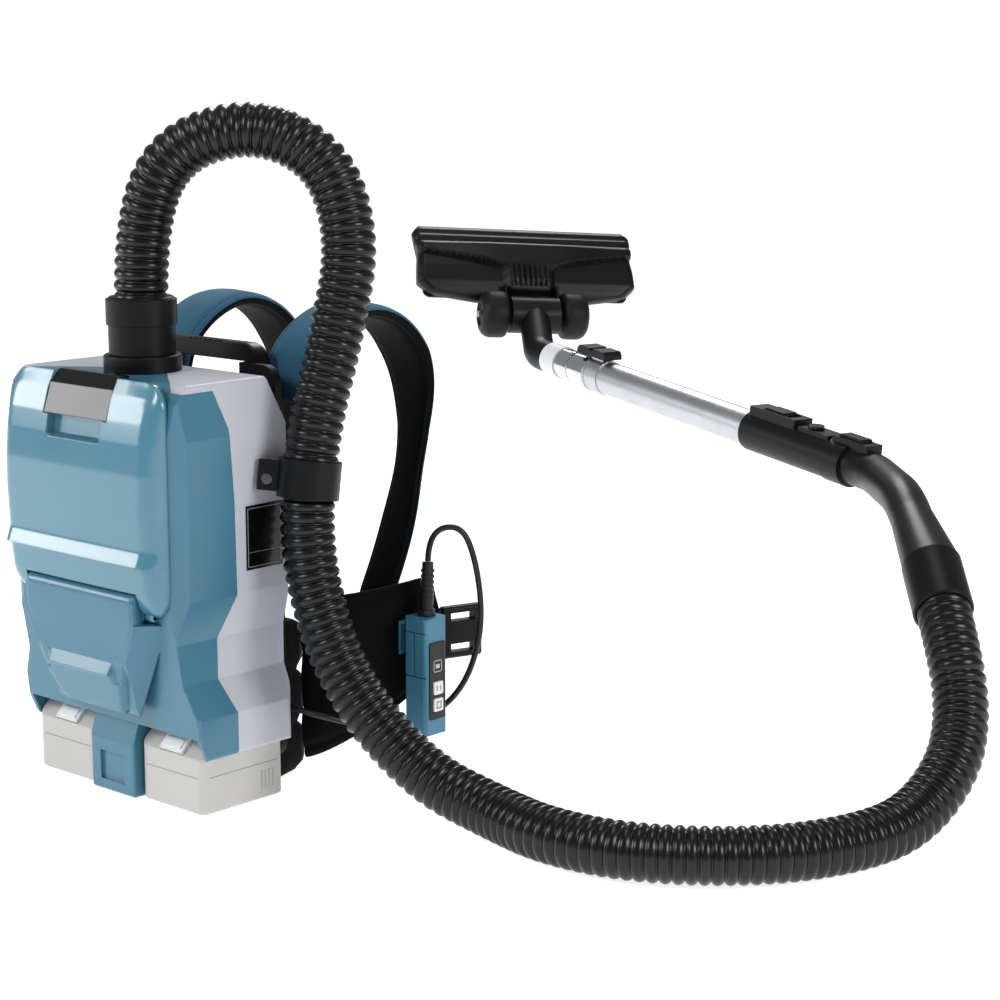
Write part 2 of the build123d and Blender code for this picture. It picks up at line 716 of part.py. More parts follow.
with BuildPart() as wand_adapter:
    wandDisc(318.3, 343, 17.4)
    wandDisc(300, 318.3, inner_d / 2 - 1.35)
    wandDisc(290, 350, 13, Mode.SUBTRACT)
save(wand_adapter.part, "wand_adapter")

neck_points = [elbow - wand_dir * 1.8, elbow + wand_dir * 24, pivot - neck_dir * 8]


def makeNeck(radius):
    with BuildPart() as neck:
        with BuildLine() as path:
            FilletPolyline(*[tuple(v) for v in neck_points], radius=30)
        with BuildSketch(path.line ^ 0):
            Circle(radius)
        sweep(transition=Transition.RIGHT)
    return neck.part


with BuildPart() as barrel:
    rodX(-27.8, 27.8, 0, 0, 20.5)
with BuildPart() as barrel_bore:
    rodX(-24, 24, 0, 0, 17.5)
    with Locations(Location((0, 20, 0), (90, 0, 0))):
        Cylinder(14, 30)
    rodX(-40, 40, 0, 0, 4.4)
with BuildPart() as nozzle_neck:
    add(makeNeck(16.8))
    add(barrel.part.moved(nozzle_frame))
    add(makeNeck(13.4), mode=Mode.SUBTRACT)
    add(barrel_bore.part.moved(nozzle_frame), mode=Mode.SUBTRACT)
save(nozzle_neck.part, "nozzle_neck")


def makeShoe(inset, low):
    with BuildPart() as shoe:
        with BuildSketch(Plane.XY.offset(-40)):
            with BuildLine():
                Polyline(
                    (-120, 113), (-126, 106), (-122, 76), (-125, 44), (-112, 33), (-60, 25),
                    (60, 25), (112, 33), (125, 44), (122, 76), (126, 106), (120, 113), close=True,
                )
            make_face()
            if inset:
                offset(amount=-inset)
        extrude(amount=60)
        with BuildSketch(Plane.YZ.offset(-150)):
            with BuildLine():
                Polyline(
                    (20, low), (20, -8 - inset), (40, -2 - inset), (62, -inset), (88, -4 - inset),
                    (104, -9 - inset), (116, -15 - inset), (116, low), close=True,
                )
            make_face()
        extrude(amount=300, mode=Mode.INTERSECT)
    return shoe.part


with BuildPart() as nozzle_body:
    add(makeShoe(0, -19))
    with BuildPart(mode=Mode.PRIVATE) as duct:
        with BuildSketch(Plane.YZ.offset(-26)):
            with BuildLine():
                Polyline((24, -19), (24, 4), (34, 8), (60, 8), (92, -2), (92, -19), close=True)
            make_face()
        extrude(amount=52)
    add(duct.part)
    add(makeShoe(2.2, -30), mode=Mode.SUBTRACT)
    block(-23.5, 23.5, 20, 88, -30, 2, Mode.SUBTRACT)
    block(-118, 118, 92, 99, -9, -1)
    for i in range(6):
        y = 40 + 6.5 * i
        block(-21, 21, y, y + 2.6, 4, 12, Mode.SUBTRACT)
    for x in (-1, 1):
        x0, x1 = sorted((x * 31.4, x * 63))
        rodX(x0, x1, 0, 0, 28, Mode.SUBTRACT)
        x0, x1 = sorted((x * 28.3, x * 31.3))
        block(x0, x1, -7, 30, -12, 8)
        x0, x1 = sorted((x * 25, x * 64))
        rodX(x0, x1, 0, 0, 4)
save(nozzle_body.part.moved(nozzle_frame), "nozzle_body")

with BuildPart() as nozzle_sole:
    with BuildPart(mode=Mode.PRIVATE) as plate:
        block(-119, 119, 30, 110, -22, -19.2)
        fillet(plate.edges().filter_by(Axis.Z), 8)
    add(plate.part)
    block(-104, 104, 72, 92, -30, -10, Mode.SUBTRACT)
save(nozzle_sole.part.moved(nozzle_frame), "nozzle_sole")

with BuildPart() as nozzle_brushes:
    block(-110, 110, 62, 66, -26, -22.2)
    block(-110, 110, 98, 102, -26, -22.2)
save(nozzle_brushes.part.moved(nozzle_frame), "nozzle_brushes")

for sign, name in ((-1, "left"), (1, "right")):
    with BuildPart() as roller:
        x0, x1 = sorted((sign * 32, sign * 62))
        rodX(x0, x1, 0, 0, 26)
        chamfer(roller.edges(), 2)
        x0, x1 = sorted((sign * 30, sign * 66))
        rodX(x0, x1, 0, 0, 4.2, Mode.SUBTRACT)
        x0, x1 = sorted((sign * 58, sign * 66))
        rodX(x0, x1, 0, 0, 17, Mode.SUBTRACT)
    save(roller.part.moved(nozzle_frame), f"roller_{name}")

# The hand controller hangs by its clip in front of the right wing of the belt.
case_x = (160, 184)
case_y = (127, 152)
key_z = (83, 69)
with BuildPart() as controller_case:
    with BuildSketch(Plane.XZ.offset(-case_y[1])):
        with BuildLine():
            Polyline((case_x[0], 52), (case_x[1], 44), (case_x[1], 141), (case_x[0], 141), close=True)
        make_face()
    extrude(amount=case_y[1] - case_y[0])
    fillet(controller_case.edges().filter_by(Axis.Z), 3)
    block(case_x[0] + 2, case_x[1] - 2, case_y[0] + 2, case_y[1] - 2, 56, 139, Mode.SUBTRACT)
    for z in key_z:
        block(180, 186, 134.2, 145.8, z - 5.8, z + 5.8, Mode.SUBTRACT)
save(controller_case.part, "controller_case")

with BuildPart() as controller_keypad:
    block(184.1, 185, 131, 149, 57, 121)
    fillet(controller_keypad.edges().filter_by(Axis.X), 1.5)
    for z in key_z:
        block(180, 188, 134.2, 145.8, z - 5.8, z + 5.8, Mode.SUBTRACT)
save(controller_keypad.part, "controller_keypad")

for z, name in zip(key_z, ("upper", "lower")):
    with BuildPart() as key:
        block(181.2, 186.4, 134.6, 145.4, z - 5.4, z + 5.4)
        fillet(key.edges().filter_by(Axis.X), 1.6)
        fillet(key.edges().group_by(Axis.X)[-1], 0.7)
    save(key.part, f"controller_button_{name}")

# a hook at the side of the case, over the edge of the belt
with BuildPart() as controller_clip:
    block(152.9, 154.7, 128, 138, 108, 136)
    block(152.9, 159.8, 128, 138, 134, 136)
    fillet(controller_clip.edges().filter_by(Axis.Y).group_by(Axis.Z)[-1].sort_by(Axis.X)[0], 1.6)
save(controller_clip.part, "controller_clip")

relief_foot = Vector(172, 141, 141.2)
relief_top = Vector(169, 146, 184)
relief_dir = (relief_top - relief_foot).normalized()
with BuildPart() as controller_relief:
    rod(172, 141, 141.2, 146, 7)
    with BuildSketch(Plane(origin=relief_foot + relief_dir * 3, z_dir=relief_dir)):
        Circle(5.2)
    extrude(amount=(relief_top - relief_foot).length - 3, taper=0.8)
    for i in range(6):
        with BuildSketch(Plane(origin=relief_foot + relief_dir * (12 + 4.6 * i), z_dir=relief_dir)):
            Circle(5.6)
        extrude(amount=2.4)
save(controller_relief.part, "controller_relief")

cable_start = relief_top + relief_dir * 0.4
cable_points = [
    tuple(cable_start), (165.8, 150.5, 208), (185.5, 168.5, 214), (194.5, 176.5, 182),
    (198, 180, 134), (191, 175, 94), (176, 168, 66), (156, 160, 50), (150, 137, 43),
    (146, 112, 47), (140, 84, 57), (127, 57.5, 67), (101.9, 56.5, 68),
]
save(makeTube(cable_points, 5, 0, "cable"), "controller_cable")
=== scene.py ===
import bpy
import bmesh
import math
from mathutils import Vector, Matrix, noise


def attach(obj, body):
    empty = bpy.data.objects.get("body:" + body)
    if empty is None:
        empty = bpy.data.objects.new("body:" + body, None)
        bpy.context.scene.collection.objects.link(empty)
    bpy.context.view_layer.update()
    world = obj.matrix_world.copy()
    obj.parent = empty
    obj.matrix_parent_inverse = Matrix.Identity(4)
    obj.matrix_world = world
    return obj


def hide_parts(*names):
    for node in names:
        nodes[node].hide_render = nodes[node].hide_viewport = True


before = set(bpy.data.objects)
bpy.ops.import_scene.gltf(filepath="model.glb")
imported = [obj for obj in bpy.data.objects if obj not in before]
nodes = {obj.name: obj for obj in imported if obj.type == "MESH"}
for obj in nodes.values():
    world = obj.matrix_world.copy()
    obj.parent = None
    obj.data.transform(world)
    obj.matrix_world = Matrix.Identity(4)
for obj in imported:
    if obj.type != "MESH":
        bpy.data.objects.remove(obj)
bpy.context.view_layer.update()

print("frame loaded,", len(nodes), "pieces")

# small helpers for meshes and materials


def linear(hexColour):
    out = []
    for i in (0, 2, 4):
        c = int(hexColour[i:i + 2], 16) / 255
        out.append(c / 12.92 if c <= 0.04045 else ((c + 0.055) / 1.055) ** 2.4)
    return (*out, 1)


def along(points, at):
    for (a, u), (b, v) in zip(points, points[1:]):
        if a <= at <= b:
            return u + (v - u) * (at - a) / (b - a)
    return points[-1][1] if at > points[-1][0] else points[0][1]


def smoothStep(v):
    v = min(1, max(0, v))
    return v * v * (3 - 2 * v)


def inMetres(points):
    return [tuple(v / 1000 for v in p) for p in points]


def linked(name, data):
    thing = bpy.data.objects.new(name, data)
    bpy.context.scene.collection.objects.link(thing)
    return thing


def put(name, mesh, body, materials=(), smooth=True):
    piece = linked(name, mesh)
    for m in materials:
        mesh.materials.append(m)
    if smooth:
        for p in mesh.polygons:
            p.use_smooth = True
    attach(piece, body)
    return piece


def meshFrom(name, verts, faces, marks=None):
    mesh = bpy.data.meshes.new(name)
    mesh.from_pydata([tuple(v) for v in verts], [], faces)
    if marks:
        for poly, mark in zip(mesh.polygons, marks):
            poly.material_index = mark
    mesh.validate()
    mesh.update()
    return mesh


def sheetFaces(lines, columns):
    row = columns + 1
    return [(j * row + i, j * row + i + 1, (j + 1) * row + i + 1, (j + 1) * row + i)
            for j in range(lines) for i in range(columns)]


def ringFaces(base, rings, around, inward=False):
    faces = []
    for ring in range(rings - 1):
        for k in range(around):
            a = base + ring * around + k
            b = base + ring * around + (k + 1) % around
            faces.append((a, a + around, b + around, b) if inward else (a, b, b + around, a + around))
    first = range(base, base + around)
    last = range(base + (rings - 1) * around, base + rings * around)
    faces.append(tuple(first if inward else reversed(first)))
    faces.append(tuple(reversed(last) if inward else last))
    return faces


# pulls the open rim of a mesh out into a skirt, which moveVert puts in place
def skirted(mesh, moveVert, place=None):
    work = bmesh.new()
    work.from_mesh(mesh)
    loose = [v for v in work.verts if not v.link_faces]
    bmesh.ops.delete(work, geom=loose, context="VERTS")
    rim = [e for e in work.edges if len(e.link_faces) == 1]
    made = bmesh.ops.extrude_edge_only(work, edges=rim)
    for v in made["geom"]:
        if isinstance(v, bmesh.types.BMVert):
            moveVert(v)
    bmesh.ops.recalc_face_normals(work, faces=work.faces[:])
    if place is not None:
        for v in work.verts:
            v.co = place @ v.co
    work.to_mesh(mesh)
    work.free()
    return mesh


def thicken(piece, thick, sharpAngle):
    shell = piece.modifiers.new("thickness", "SOLIDIFY")
    shell.thickness = thick / 1000
    shell.offset = -1
    piece.data.set_sharp_from_angle(angle=math.radians(sharpAngle))


# points are in metres
def splineCurve(name, points, bevel=0.0, resolution=16, rounds=6):
    data = bpy.data.curves.new(name, "CURVE")
    data.dimensions = "3D"
    spline = data.splines.new("NURBS")
    spline.points.add(len(points) - 1)
    for spot, p in zip(spline.points, points):
        spot.co = (*p, 1)
    spline.order_u = 3
    spline.use_endpoint_u = True
    spline.resolution_u = resolution
    data.bevel_depth = bevel
    data.bevel_resolution = rounds
    return data


def followLine(points, resolution=40):
    data = splineCurve("guide", inMetres(points), 0, resolution)
    guide = linked("guide", data)
    bpy.context.view_layer.update()
    mesh = bpy.data.meshes.new_from_object(guide)
    line = [v.co.copy() for v in mesh.vertices]
    bpy.data.objects.remove(guide)
    bpy.data.meshes.remove(mesh)
    bpy.data.curves.remove(data)
    return line


def evenSpots(line, step):
    lengths = [0.0]
    for a, b in zip(line, line[1:]):
        lengths.append(lengths[-1] + (b - a).length)
    total = lengths[-1]
    count = max(2, round(total / step))
    spots = []
    j = 0
    for i in range(count + 1):
        want = total * i / count
        while j < len(line) - 2 and lengths[j + 1] < want:
            j += 1
        span = lengths[j + 1] - lengths[j]
        t = (want - lengths[j]) / span if span > 0 else 0
        spots.append(line[j].lerp(line[j + 1], min(max(t, 0), 1)))
    return spots, total


def tubeMesh(name, spots, radiusAt, around):
    tangents = []
    for i in range(len(spots)):
        a = spots[max(i - 1, 0)]
        b = spots[min(i + 1, len(spots) - 1)]
        tangents.append((b - a).normalized())
    side = tangents[0].orthogonal().normalized()
    verts = []
    for i, (spot, t) in enumerate(zip(spots, tangents)):
        side = (side - t * side.dot(t)).normalized()
        up = t.cross(side)
        r = radiusAt(i)
        for k in range(around):
            a = 2 * math.pi * k / around
            verts.append(spot + (side * math.cos(a) + up * math.sin(a)) * r)
    return meshFrom(name, verts, ringFaces(0, len(spots), around))


class Finish:
    def __init__(self, name):
        self.material = bpy.data.materials.new(name)
        self.material.use_nodes = True
        self.tree = self.material.node_tree
        self.shader = self.tree.nodes["Principled BSDF"]
        self.coord = self.tree.nodes.new("ShaderNodeTexCoord").outputs["Object"]

    def feed(self, value, socket):
        if hasattr(value, "is_output"):
            self.tree.links.new(value, socket)
        else:
            socket.default_value = value

    def node(self, kind, **inputs):
        n = self.tree.nodes.new(kind)
        for key, value in inputs.items():
            self.feed(value, n.inputs[key.replace("_", " ")])
        return n

    def noise(self, scale, detail=3.0, rough=0.55):
        n = self.node("ShaderNodeTexNoise", Scale=scale, Detail=detail, Roughness=rough,
                      Vector=self.coord)
        return n.outputs["Fac"]

    def spread(self, fac, low, high, fromLow=0.3, fromHigh=0.7):
        n = self.node("ShaderNodeMapRange", Value=fac, From_Min=fromLow, From_Max=fromHigh,
                      To_Min=low, To_Max=high)
        return n.outputs["Result"]

    def mix(self, fac, a, b):
        n = self.tree.nodes.new("ShaderNodeMix")
        n.data_type = "RGBA"
        for value, socket in ((fac, n.inputs[0]), (a, n.inputs[6]), (b, n.inputs[7])):
            self.feed(value, socket)
        return n.outputs[2]

    def maths(self, kind, a, b=0.0):
        n = self.tree.nodes.new("ShaderNodeMath")
        n.operation = kind
        for value, socket in ((a, n.inputs[0]), (b, n.inputs[1])):
            self.feed(value, socket)
        return n.outputs[0]

    def edges(self, radius):
        bevel = self.node("ShaderNodeBevel", Radius=radius)
        bevel.samples = 4
        geometry = self.tree.nodes.new("ShaderNodeNewGeometry")
        dot = self.tree.nodes.new("ShaderNodeVectorMath")
        dot.operation = "DOT_PRODUCT"
        self.tree.links.new(bevel.outputs[0], dot.inputs[0])
        self.tree.links.new(geometry.outputs["Normal"], dot.inputs[1])
        return self.spread(dot.outputs["Value"], 1.0, 0.0, 0.86, 0.985), bevel.outputs[0]

    def bump(self, height, strength, distance, normal=None):
        n = self.node("ShaderNodeBump", Strength=strength, Distance=distance, Height=height)
        if normal is not None:
            self.tree.links.new(normal, n.inputs["Normal"])
        return n.outputs[0]

    def done(self, colour, roughness, normal=None, **fixed):
        s = self.shader
        for value, key in ((colour, "Base Color"), (roughness, "Roughness")):
            self.feed(value, s.inputs[key])
        if normal is not None:
            self.tree.links.new(normal, s.inputs["Normal"])
        for key, value in fixed.items():
            s.inputs[key.replace("_", " ")].default_value = value
        return self.material


def moulded(name, colour, worn, roughness, grain=2600, depth=0.00006, soften=0.0008, gloss=0.5, coat=0.0):
    f = Finish(name)
    cloud = f.noise(9, 4)
    fine = f.noise(grain, 2)
    edge, softNormal = f.edges(soften)
    scuff = f.maths("MULTIPLY", edge, f.spread(f.noise(45, 4), 0, 1, 0.42, 0.62))
    base = f.mix(f.spread(cloud, 0, 1, 0.35, 0.65), linear(colour), linear(worn))
    patchy = f.spread(f.noise(24, 3), roughness - 0.012, roughness + 0.018)
    rough = f.maths("ADD", patchy, f.maths("MULTIPLY", scuff, 0.06))
    normal = f.bump(fine, 0.35, depth, softNormal)
    return f.done(base, rough, normal, Specular_IOR_Level=gloss, Coat_Weight=coat, Coat_Roughness=0.08)


def woven(name, colour, shade, pitch, depth, sheen=0.35, roughness=0.82):
    f = Finish(name)
    waveA = f.tree.nodes.new("ShaderNodeTexWave")
    waveB = f.tree.nodes.new("ShaderNodeTexWave")
    for wave, way in ((waveA, "DIAGONAL"), (waveB, "Z")):
        wave.bands_direction = way
        wave.inputs["Scale"].default_value = 0.3142 / pitch
        wave.inputs["Distortion"].default_value = 0.6
        wave.inputs["Detail Scale"].default_value = 3
        f.tree.links.new(f.coord, wave.inputs["Vector"])
    weave = f.maths("MAXIMUM", waveA.outputs["Fac"], waveB.outputs["Fac"])
    patch = f.noise(14, 5)
    fuzz = f.noise(900, 2)
    tone = f.mix(f.spread(patch, 0, 1, 0.3, 0.7), linear(colour), linear(shade))
    tone = f.mix(f.maths("MULTIPLY", weave, 0.45), linear(shade), tone)
    height = f.maths("ADD", weave, f.maths("MULTIPLY", fuzz, 0.6))
    rumple = f.bump(f.noise(55, 4), 0.25, 0.0025)
    normal = f.bump(height, 0.5, depth, rumple)
    return f.done(tone, f.spread(fuzz, roughness - 0.08, roughness + 0.08), normal,
                  Sheen_Weight=sheen, Sheen_Roughness=0.4, Specular_IOR_Level=0.12)


def metal(name, colour, roughness, brush=0.0, metallic=1.0):
    f = Finish(name)
    streak = f.noise(420, 4)
    smudge = f.noise(26, 5)
    tone = f.mix(f.spread(smudge, 0, 1), linear(colour), linear("8e9093"))
    tone = f.mix(0.75, tone, linear(colour))
    rough = f.spread(smudge, roughness, roughness + 0.1)
    normal = f.bump(streak, 0.08 + brush, 0.00003)
    return f.done(tone, rough, normal, Metallic=metallic)


def pressed(name, colour, fleck, scale=700, roughness=0.8):
    f = Finish(name)
    grain = f.noise(scale, 3)
    tone = f.mix(f.spread(grain, 0, 1), linear(colour), linear(fleck))
    rough = f.spread(f.noise(40, 3), roughness - 0.06, roughness + 0.06)
    return f.done(tone, rough, f.bump(grain, 0.4, 0.0002))


# the finishes

tealGloss = moulded("tealMoulding", "42778b", "467b8f", 0.2, grain=1800, depth=0.00002, gloss=0.6,
                    coat=0.3, soften=0.0018)
tealSatin = moulded("tealMouldingSatin", "3c6f84", "407389", 0.25, depth=0.00004, soften=0.0015)
greyShell = moulded("greyShell", "b4b5bc", "b8b9c0", 0.4, depth=0.00006, soften=0.0015)
blackSatin = moulded("blackMoulding", "08090a", "0c0d0e", 0.38, gloss=0.2, soften=0.0012)
blackGloss = moulded("blackGloss", "070808", "0c0d0e", 0.2, depth=0.00002, gloss=0.3, coat=0.12, soften=0.0012)
blackRough = moulded("blackTextured", "0b0c0d", "111213", 0.55, grain=1500, depth=0.00012, gloss=0.18)
buttonWhite = moulded("buttonWhite", "e2e2e0", "ecebe8", 0.4)
paleCase = moulded("paleCase", "b4b2af", "b9b7b3", 0.45, depth=0.0001, soften=0.002)
tealDark = moulded("tealControl", "33708a", "417d96", 0.32)
collarWhite = moulded("collarWhite", "d2d4d6", "dcdee0", 0.4)
hoseBlack = moulded("hoseBlack", "060707", "090a0a", 0.27, grain=500, depth=0.00001, gloss=0.34)
cableBlack = moulded("cableBlack", "0c0d0e", "131416", 0.36, grain=1400, gloss=0.4)
rubberBlack = moulded("rollerRubber", "0b0c0d", "121314", 0.5, grain=900, depth=0.00008, gloss=0.2)
meshBlack = woven("meshBlack", "0c0d0e", "030304", 0.0016, 0.00035, sheen=0.04)
padBlack = woven("padFabricBlack", "0c0d0e", "040405", 0.0012, 0.00025, sheen=0.03)
clothTeal = woven("clothTeal", "3f6f87", "2c5870", 0.0011, 0.0002, sheen=0.15)
chromeTube = metal("chromeTube", "d8dadc", 0.1)
satinTube = metal("satinAluminium", "c4c6c9", 0.3, brush=0.1)
plainSteel = metal("plainSteel", "a8abae", 0.3, brush=0.15)
copperWire = metal("copperWire", "b8703c", 0.35, brush=0.2)
brassBlade = metal("brassBlade", "c2a25a", 0.3)
pleatPaper = pressed("pleatPaper", "d9d2c0", "c5bda8")
bagCloth = pressed("bagCloth", "c9c6bd", "b5b2a8", 420)
boardGreen = pressed("boardGreen", "1d5a34", "174a2b", 300, 0.45)
cellWrap = moulded("cellWrap", "3b6a88", "33607c", 0.35)
bristleBlack = pressed("bristleBlack", "17181a", "060607", 2400, 0.85)
print("finishes ready")

finishOf = {
    "front_housing": tealSatin, "rear_housing": greyShell, "front_cover": tealGloss,
    "cover_latch": blackGloss, "hinge_pins": plainSteel, "inlet_port": blackSatin,
    "hose_cuff": blackSatin, "dust_bag": bagCloth, "filter_frame": blackSatin,
    "filter_pleats": pleatPaper, "fan_housing": blackRough, "impeller": plainSteel,
    "motor_shaft": plainSteel, "motor_stator": plainSteel, "motor_windings": copperWire,
    "control_board": boardGreen, "battery_terminals": brassBlade,
    "battery_left_case": paleCase, "battery_right_case": paleCase,
    "battery_left_button": buttonWhite, "battery_right_button": buttonWhite,
    "battery_left_cells": cellWrap, "battery_right_cells": cellWrap,
    "center_foot": tealSatin, "housing_screws": plainSteel, "label_plate": blackGloss,
    "back_plate": blackRough, "belt_buckle": blackSatin, "carry_handle": blackSatin,
    "hose_band": blackSatin, "handle_tube": blackSatin, "handle_cuff": blackSatin,
    "handle_latch": blackSatin, "wand_sleeve": blackSatin, "sleeve_slider": blackSatin,
    "sleeve_button": blackGloss, "wand_outer": satinTube, "wand_lock": blackSatin,
    "wand_inner": chromeTube, "wand_adapter": collarWhite, "nozzle_neck": blackSatin,
    "nozzle_body": blackSatin, "nozzle_sole": blackRough, "nozzle_brushes": bristleBlack,
    "roller_left": rubberBlack, "roller_right": rubberBlack, "controller_case": tealDark,
    "controller_keypad": blackGloss, "controller_button_upper": buttonWhite,
    "controller_button_lower": buttonWhite, "controller_clip": tealDark,
    "controller_relief": cableBlack, "back_pad": padBlack, "shoulder_strap_left": clothTeal,
    "shoulder_strap_right": clothTeal, "waist_belt_left": padBlack,
    "waist_belt_right": padBlack, "hose": hoseBlack, "controller_cable": cableBlack,
}
for name, piece in nodes.items():
    if not piece.material_slots:
        piece.data.materials.append(None)
    for s in piece.material_slots:
        s.link = "OBJECT"
        s.material = finishOf[name]

# the front cover: a soft pillow with a latch seat, a finger pocket and a notch

coverLook = {
    "halfWidth": 93.5, "corner": 21, "low": 158.4, "high": 342.2, "base": -60.6, "soft": 15,
    "profile": [(158, 3.5), (164, 8.5), (180, 13), (198, 15.6), (200.5, 16.8), (202, 21.0), (213.5, 16.2),
                (245, 18.0), (272, 17.6), (295, 15), (312, 11.6), (330, 6.2), (342.5, 0.6)],
    "seat": (39.4, 309.5, 4.2), "pocket": (33, 293, 312, 7.5), "notch": (69, 178.8), "thick": 2.4,
    "skirt": (-0.0606, 0.002, 0.0025), "top": (0.338, -0.0565), "sides": (55, 18), "crown": 1.2,
    "knuckle": (70, 79, -63.5, 160, 3.2),
}


def coverHeight(x, z):
    look = coverLook
    depth = along(look["profile"], z)
    r = look["corner"]
    mid = (look["low"] + look["high"]) / 2
    ex = abs(x) - (look["halfWidth"] - r)
    ez = abs(z - mid) - ((look["high"] - look["low"]) / 2 - r)
    inside = r - math.hypot(max(ex, 0), max(ez, 0)) if ex > 0 or ez > 0 else r
    side = min(1, max(0, inside / look["soft"]))
    fall = (1 - (1 - side) ** 2.2) ** (1 / 2.2)
    # only the sides and the top corners round over, as the profile shapes top and bottom
    sideStart, sideRun = look["sides"]
    weight = min(1, max(0, (abs(x) - sideStart) / sideRun))
    crown = look["crown"] * (1 - (x / look["halfWidth"]) ** 2)
    depth = depth * (1 - weight + weight * fall) + crown * side
    w, zs, deep = look["seat"]
    if abs(x) < w and z > zs:
        depth -= deep
    pw, p0, p1, pd = look["pocket"]
    gap = min(pw - abs(x), z - p0, p1 + 6 - z)
    if z < p1 + 6:
        depth -= (pd - (deep if abs(x) < w and z > zs else 0)) * min(1, max(0, gap / 1.6)) ** 0.7
    return depth


def coverMesh():
    look = coverLook
    xs = {0.0}
    seatLines = [v * 1.5 for v in range(1, 27)] + [39.3, 39.5]
    notchLines = [41 + 2 * v for v in range(15)] + [68.9, 69.1]
    sideLines = [70 + v for v in range(1, 24)] + [93.5]
    for x in seatLines + notchLines + sideLines:
        xs.update((x, -x))
    xs = sorted(xs)
    zs = {158.4, 160, 162, 164, 178.7, 178.9, 309.4, 309.6, 342.2, 200.5, 202, 198, 214}
    zs.update(166 + 2 * v for v in range(64) if 166 + 2 * v < 290)
    zs.update(290 + 1.3 * v for v in range(40) if 290 + 1.3 * v < 342)
    zs = sorted(zs)
    r = look["corner"]
    hold = notchLines[-1]
    verts = []
    for z in zs:
        near = min(z - look["low"], look["high"] - z)
        half = look["halfWidth"] - (r - math.sqrt(max(0, r * r - (r - near) ** 2)) if near < r else 0)
        for x in xs:
            ax = abs(x)
            if ax > hold:
                ax = hold + (ax - hold) / (look["halfWidth"] - hold) * (half - hold)
            px = math.copysign(ax, x)
            verts.append((px / 1000, (look["base"] - coverHeight(px, z)) / 1000, z / 1000))
    row = len(xs)
    faces = []
    for j in range(len(zs) - 1):
        for i in range(row - 1):
            cx = (xs[i] + xs[i + 1]) / 2
            cz = (zs[j] + zs[j + 1]) / 2
            if abs(cx) < look["notch"][0] and cz < look["notch"][1]:
                continue
            a = j * row + i
            faces.append((a, a + 1, a + row + 1, a + row))

    # the skirt runs back to the casing all round, and further at the top
    def moveVert(v):
        back, deeper, run = look["skirt"]
        topZ, topY = look["top"]
        v.co.y = min(max(v.co.y + run, back), back + deeper)
        if v.co.z > topZ:
            v.co.y = max(v.co.y, topY)

    return skirted(meshFrom("coverPillow", verts, faces), moveVert)


def barrelMesh(name, parts, around=32, chamfer=0.5):
    verts = []
    faces = []
    for x0, x1, y, z, r in parts:
        base = len(verts)
        for x, radius in ((x0, r - chamfer), (x0 + chamfer, r), (x1 - chamfer, r), (x1, r - chamfer)):
            for k in range(around):
                a = 2 * math.pi * k / around
                verts.append((x / 1000, (y + radius * math.cos(a)) / 1000, (z + radius * math.sin(a)) / 1000))
        faces += ringFaces(base, 4, around)
    return meshFrom(name, verts, faces)


x0, x1, y, z, r = coverLook["knuckle"]
knuckleMesh = barrelMesh("coverKnuckles", [(x0, x1, y, z, r), (-x1, -x0, y, z, r)])
knuckles = put("coverKnuckles", knuckleMesh, "cover", [tealGloss])

cover = put("coverPillow", coverMesh(), "cover", [tealGloss])
thicken(cover, coverLook["thick"], 38)
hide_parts("front_cover")
print("cover made,", len(cover.data.polygons), "faces")

# the nose: a moulded panel over the casing below the cover, with one bright facet

noseLook = {
    "low": 76, "high": 177.2, "cell": 1.4,
    "half": [(76, 37), (108, 50), (152, 67.8), (160, 67.6), (177.2, 67.6)],
    "profile": [(76, 2.5), (82, 5.5), (96, 11.2), (107, 15.6), (109, 18.6), (121, 13.4), (140, 15.2),
                (160, 16.4), (171, 16.0), (174, 15.3), (176, 13.7), (177.2, 11.6)],
    "facet": (40, 104, 124), "besideFacet": (12.6, 2.6), "face": -60.6, "columns": 96, "rounding": (5, 2.6),
    "skirt": (-0.0585, 0.012), "flare": (0.078, 0.145, 1.12), "thick": 1.6,
}


def noseHeight(x, z):
    depth = along(noseLook["profile"], z)
    # the facet stops short of the sides
    w, f0, f1 = noseLook["facet"]
    if f0 < z < f1:
        start, climb = noseLook["besideFacet"]
        plain = start + (z - f0) / (f1 - f0) * climb
        keep = min(1, max(0, (w - abs(x)) / 5 + 0.5))
        depth = plain + (depth - plain) * keep
    return depth


def noseMesh():
    look = noseLook
    lines = round((look["high"] - look["low"]) / look["cell"])
    columns = look["columns"]
    edgeRun, edgeDrop = look["rounding"]
    verts = []
    for j in range(lines + 1):
        z = look["low"] + (look["high"] - look["low"]) * j / lines
        half = along(look["half"], z)
        for i in range(columns + 1):
            x = -half + 2 * half * i / columns
            edge = min(1, (half - abs(x)) / edgeRun)
            depth = noseHeight(x, z) - edgeDrop * (1 - math.sqrt(max(0, 1 - (1 - edge) ** 2)))
            verts.append((x / 1000, (look["face"] - depth) / 1000, z / 1000))

    # the skirt flares out below the open cover's reach
    def moveVert(v):
        back, run = look["skirt"]
        flareLow, flareHigh, wider = look["flare"]
        v.co.y = min(back, v.co.y + run)
        v.co.x *= wider if flareLow < v.co.z < flareHigh else 1

    return skirted(meshFrom("nosePanel", verts, sheetFaces(lines, columns)), moveVert)


nose = put("nosePanel", noseMesh(), "base", [tealSatin])
thicken(nose, noseLook["thick"], 32)
print("nose made")

# the hose

